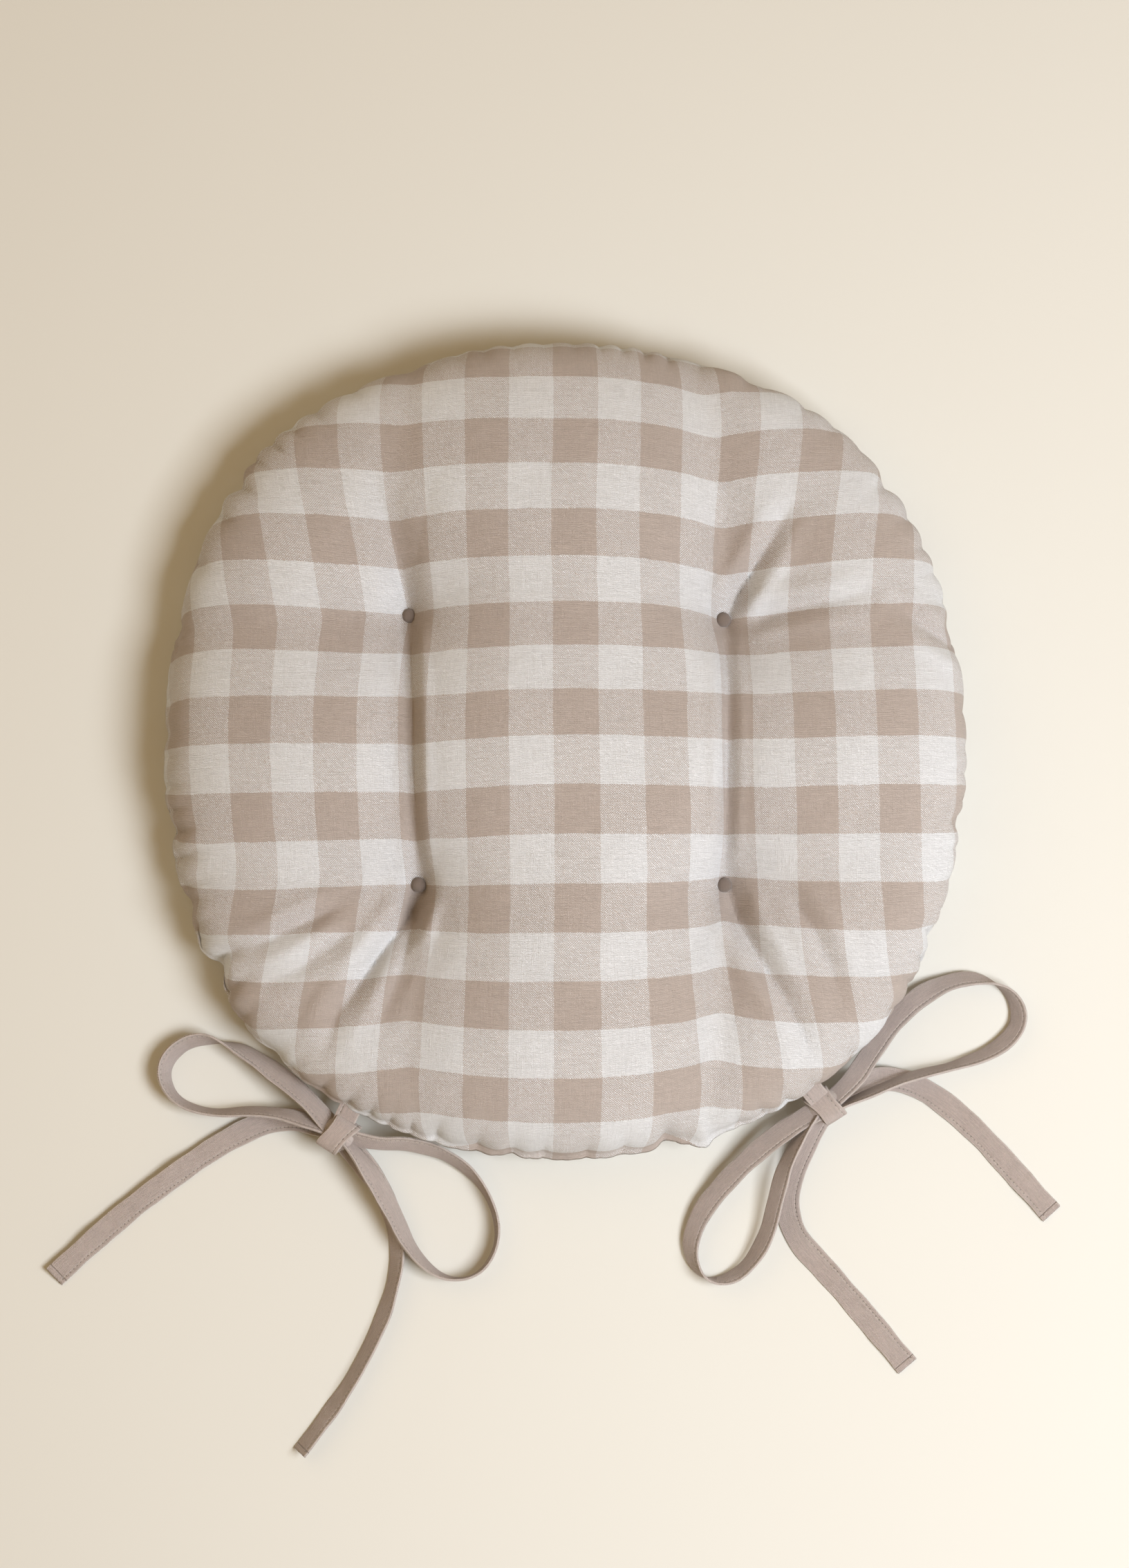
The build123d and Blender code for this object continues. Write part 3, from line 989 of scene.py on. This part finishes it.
# How far the top cover's cloth has slipped, to the right and to the front, on a square of places
# from -SLIP_SPAN to SLIP_SPAN: from the front row to the rear row, each from left to right.
SLIP_SPAN = 180.0
SLIP_RIGHT = [
    [7.0, 7.0, 6.0, 3.0, 2.0],
    [11.0, 7.0, 2.0, 0.0, -6.0],
    [11.0, 3.5, 1.0, 0.5, -6.0],
    [12.0, 2.0, 0.0, 3.0, -3.0],
    [4.0, 2.0, 2.5, 12.0, 8.0],
]
SLIP_FORWARD = [
    [-3.0, -3.0, -6.0, -9.0, -7.0],
    [2.0, -2.5, -3.5, -4.5, -2.0],
    [1.4, 0.0, 3.0, 1.0, 3.0],
    [-1.0, 0.0, 1.5, 1.5, 2.5],
    [0.0, 4.0, 1.5, 5.0, 9.0],
]


def slipped(flat, places):
    """Where on the cloth each place of the top cover is, once the cloth has slipped."""
    # table[x, y] is the slip at one place, from the rear left one.
    table = np.stack([SLIP_RIGHT, SLIP_FORWARD], axis=-1)[::-1].swapaxes(0, 1)
    count = table.shape[0] - 1
    share = np.clip((places / SLIP_SPAN + 1) / 2, 0, 1) * count
    low = np.minimum(share.astype(int), count - 1)
    part = share - low
    part = part * part * (3 - 2 * part)
    x, y = low[..., 0], low[..., 1]
    near = table[x, y] * (1 - part[..., :1]) + table[x + 1, y] * part[..., :1]
    far = table[x, y + 1] * (1 - part[..., :1]) + table[x + 1, y + 1] * part[..., :1]
    return flat - near * (1 - part[..., 1:]) - far * part[..., 1:]


def detailed(points):
    """The simulated panels on a finer grid, with the gathers, the folds, the dents and the seam's
    ridge. Returns the flat places of its points too.
    """
    band = np.linspace(1 - RIM_BAND, 1, RIM_CELLS + 1)
    places = np.concatenate([
        -band[::-1], np.linspace(-1 + RIM_BAND, 1 - RIM_BAND, MIDDLE_CELLS + 1)[1:-1], band,
    ])
    flat = on_disc(*np.meshgrid(places, places, indexing="ij"))
    fine = resample(points, places)
    inset = FLAT_RADIUS * np.clip(1 - radius_share(flat), 0, None)
    angle = np.arctan2(flat[..., 1], flat[..., 0])
    normals = outward(fine)
    # The gathers are held flat at the stitching itself.
    fade = np.exp(-((inset / PUCKER_REACH) ** 2)) * (1 - np.exp(-((inset / 2.5) ** 2)))
    for side in (0, 1):
        wave = pucker_wave(angle, 1.0 + side)
        fine[side] += normals[side] * (PUCKER_HEIGHT * wave * fade)[..., None]
    deepest = np.clip(fine[0][..., 2] - fine[1][..., 2] - LEAST_THICKNESS, 0, None)
    fine[0][..., 2] -= np.minimum(crease_depth(fine[0][..., :2]), deepest)
    fine[..., 0] -= LEFT_REACH * on_left(fine[..., 0])
    drawn = np.zeros(angle.shape)
    for degrees, depth, half_width in DENTS:
        off = (np.degrees(angle) - degrees + 180) % 360 - 180
        drawn += depth * np.exp(-((off / half_width) ** 2))
    inward = fine * (1.0, 1.0, 0.0) / FLAT_RADIUS
    fine -= inward * (drawn * np.exp(-((inset / DENT_REACH) ** 2)))[..., None]
    # At the seam both panels run out into one thin, wavy ridge.
    out = fine[0] * (1.0, 1.0, 0.0)
    out = out / (np.linalg.norm(out, axis=-1, keepdims=True) + 1e-9)
    ridge = np.exp(-((inset / LIP_REACH) ** 2))
    # It stands out at the rear, and lies under the cover's bulge at the front.
    shows = 0.6 - 0.4 * np.sin(angle)
    scallop = pucker_wave(angle, 1.0) + 0.4 * pucker_wave(angle * 2, 2.0)
    for side, lift in enumerate((LIP_HALF_THICKNESS, -LIP_HALF_THICKNESS)):
        fine[side] += out * (ridge * shows * (LIP + LIP_WAVE[0] * scallop))[..., None]
        fine[side][..., 2] += ridge * (LIP_WAVE[1] * scallop + lift)
    fine[..., 2] = np.maximum(fine[..., 2], 0.0)
    return flat, fine


def cover_mesh(name, points, flat, outside_up):
    """One cover panel, with its turned-in edge inside the seam."""
    size = points.shape[0]
    rows, columns = rim_indices(size - 1)
    edge = points[rows, columns]
    down = -1.0 if outside_up else 1.0
    turned = edge - level(edge) * SEAM_ALLOWANCE + np.array([0, 0, 0.45 * down])
    loop = rows * size + columns
    inner = size * size + np.arange(len(loop))
    hem = np.stack([loop, inner, np.roll(inner, -1), np.roll(loop, -1)], axis=1)
    faces = np.concatenate([grid_quads(size), hem])
    if not outside_up:
        faces = faces[:, ::-1]
    cloth = slipped(flat, points[..., :2]) if outside_up else flat
    uv = np.concatenate([cloth.reshape(-1, 2), cloth[rows, columns] * 0.98])
    vertices = np.concatenate([points.reshape(-1, 3), turned])
    return new_mesh(name, vertices, faces.tolist(), uv, GINGHAM)


FILLING_INSET = (5.0, 2.0)  # under the top cover and over the bottom one
FILLING_EDGE = 12.0  # how far inside the seam the filling ends
THREAD_INSET = 3.0
THREAD_RADIUS = 0.25


def filling_mesh(points):
    """The fibre inside, a little smaller than the covers all round."""
    inner = points - outward(points) * np.array(FILLING_INSET)[:, None, None, None]
    inner[0][..., 2] -= np.clip(crease_depth(points[0][..., :2]), 0, None)
    inner[0][..., 2] = np.maximum(inner[0][..., 2], inner[1][..., 2] + 1.0)
    size = points.shape[1]
    rows, columns = rim_indices(size - 1)
    rim = points[0][rows, columns]
    inner[:, rows, columns] = rim - level(rim) * FILLING_EDGE
    top = grid_quads(size)
    faces = np.concatenate([top, top[:, ::-1] + size * size]).tolist()
    vertices = inner.reshape(-1, 3)
    return new_mesh("filling", vertices, faces, vertices[:, :2], FIBRE)


def seam_thread(points):
    """The lock stitch that joins the panels, just inside the seam."""
    size = points.shape[1]
    rim = points[0][rim_indices(size - 1)]
    line = rim - level(rim) * THREAD_INSET
    sides = 6
    ahead = unit(np.roll(line, -1, axis=0) - np.roll(line, 1, axis=0))
    left, top = beside(ahead)
    turns = round_turn(sides)[None, :, None]
    ring = np.cos(turns) * left[:, None] + np.sin(turns) * top[:, None]
    vertices = (line[:, None] + THREAD_RADIUS * ring).reshape(-1, 3)
    faces = ring_quads(len(line), sides, closed=True)[:, FLIPPED].tolist()
    return new_mesh("seam_thread", vertices, faces, vertices[:, :2], THREAD)


def build_covers():
    """Both covers, the filling and the seam's thread. Returns the simulated points."""
    points = simulate()
    flat, fine = detailed(points)
    top = cover_mesh("cover_top", fine[0], flat, True)
    bottom = cover_mesh("cover_bottom", fine[1], flat, False)
    finish_piece(top, "gingham", "top_cover")
    finish_piece(bottom, "gingham", "bottom_cover")
    filling = filling_mesh(points)
    finish_piece(filling, "fibre", "fibre_filling")
    finish_piece(seam_thread(points), "thread", "seam_stitching")
    return points


PAD = build_covers()

# ---------- the buttons


# Half of a button's outline, from its top to under its rim: the shares of its radius and height.
BUTTON_PROFILE = [
    (0.0, 1.0), (0.22, 0.985), (0.42, 0.94), (0.6, 0.85), (0.76, 0.71), (0.89, 0.52), (0.98, 0.3),
    (1.0, 0.12), (0.94, -0.02), (0.8, -0.08),
]


def button(name, node, up):
    """A covered button: a dome of cloth that is drawn in under its rim."""
    centre = middle(node)
    low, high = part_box(node)
    radius = (high[0] - low[0]) / 2 / MM
    height = (high[2] - low[2]) / MM
    seat = (low[2] if up > 0 else high[2]) / MM
    segments = 40
    points, uv = [], []
    for share, rise in BUTTON_PROFILE:
        for turn in round_turn(segments):
            gather = 1 + 0.02 * math.sin(9 * turn) * share**4
            x = radius * share * gather * math.cos(turn)
            y = radius * share * gather * math.sin(turn)
            points.append((centre[0] + x, centre[1] + y, seat + up * rise * height * 1.02))
            uv.append((x, y))
    faces = ring_quads(len(BUTTON_PROFILE), segments)[:, FLIPPED][:, ::up].tolist()
    finish_piece(new_mesh(name, points, faces, uv, BUTTON_CLOTH), "button_cloth", node)


def build_buttons():
    for where in TUFTS_ON_PANEL:
        button(f"button_top_{where}", f"top_button_cover_{where}", 1)
        button(f"button_bottom_{where}", f"bottom_button_cover_{where}", -1)
        for node, material in (
            (f"top_button_core_{where}", BUTTON_CORE),
            (f"bottom_button_core_{where}", BUTTON_CORE),
            (f"tufting_thread_{where}", THREAD),
        ):
            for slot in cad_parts[node].material_slots:
                slot.material = material


build_buttons()

# ---------- the roots


def build_roots():
    """The short stretch of each tape between the seam and its knot."""
    rows, columns = rim_indices(PAD.shape[1] - 1)
    seam = PAD[0][rows, columns]
    for side in KNOT_SHAPES:
        centre = middle(f"{side}_bow_knot")
        heading = unit(centre[:2])
        nearest = seam[np.argmax(unit(seam[:, :2]) @ heading)]
        for which, rise in (("outer", 0.8), ("inner", -0.8)):
            out = np.array([heading[0], heading[1], 0.0])
            start = nearest - out * 6.0 + (0, 0, rise)
            leave = nearest + out * 4.0 + (0, 0, rise)
            end = centre + (0, 0, rise)
            line, along = even_stations(np.array([start, leave, (leave + end) / 2, end]), STATION)
            for axis in range(3):
                line[2:-2, axis] = np.convolve(line[:, axis], np.ones(5) / 5, mode="valid")
            left, top = beside(unit(np.gradient(line, axis=0)))
            piece = strip_mesh(f"{side}_{which}_root", line, -left, top, along)
            finish_piece(piece, "tape", f"{side}_tie_root_{which}")


build_roots()

# ---------- floor and lights


# The floor is flat, and far off it curves up into a low pale wall: distance out and height.
SWEEP = [(3000, 0), (4200, 0), (4800, 60), (5300, 220), (5700, 520), (5900, 860), (6000, 1500)]
GLOW_START = 1.0  # metres from the pad, where the key light no longer reaches
GLOW_RUN = 0.8
GLOW = 0.4
GLOW_COLOUR = (1.0, 0.96, 0.86, 1.0)
FLOOR_COLOUR = (0.703, 0.705, 0.66, 1.0)


def build_stage():
    n = Nodes("floor", roughness=0.95)
    distance = n.tree.nodes.new("ShaderNodeVectorMath")
    distance.operation = "LENGTH"
    n.put(distance.inputs[0], n.tree.nodes.new("ShaderNodeTexCoord").outputs["Object"])
    beyond = n.minus(distance.outputs["Value"], GLOW_START)
    far = n.math("DIVIDE", beyond, GLOW_RUN, clamp=True)
    n.put(n.shader.inputs["Emission Color"], GLOW_COLOUR)
    n.put(n.shader.inputs["Emission Strength"], n.times(far, GLOW))
    n.finish(FLOOR_COLOUR)
    segments = 96
    turns = round_turn(segments)
    points = [(out * math.cos(t), out * math.sin(t), rise) for out, rise in SWEEP for t in turns]
    faces = [list(range(segments)), *ring_quads(len(SWEEP), segments)[:, FLIPPED].tolist()]
    floor = new_mesh("floor", points, faces, [(0, 0)] * len(points), n.material)
    floor.location.z = -0.0002


def area_light(name, place, size, power, colour):
    """A square light, in metres and watts, that faces the pad."""
    data = bpy.data.lights.new(name, "AREA")
    data.size = size
    data.energy = power
    data.color = colour
    light = new_object(name, data)
    light.location = place
    way = -np.array(place)
    light.rotation_euler = (
        math.atan2(math.hypot(way[0], way[1]), -way[2]),
        0.0,
        math.atan2(-way[0], way[1]),
    )


def build_lights():
    area_light("key", (0.795, -0.46, 1.38), size=0.7, power=27.5, colour=(0.97, 1.0, 1.06))
    area_light("fill", (-1.6, 1.2, 2.4), size=2.5, power=13.5, colour=(1.0, 0.8, 0.58))
    world = bpy.data.worlds.new("studio")
    world.use_nodes = True
    background = world.node_tree.nodes["Background"].inputs
    background["Color"].default_value = (1.0, 0.65, 0.28, 1.0)
    background["Strength"].default_value = 0.33
    bpy.context.scene.world = world


build_stage()
build_lights()
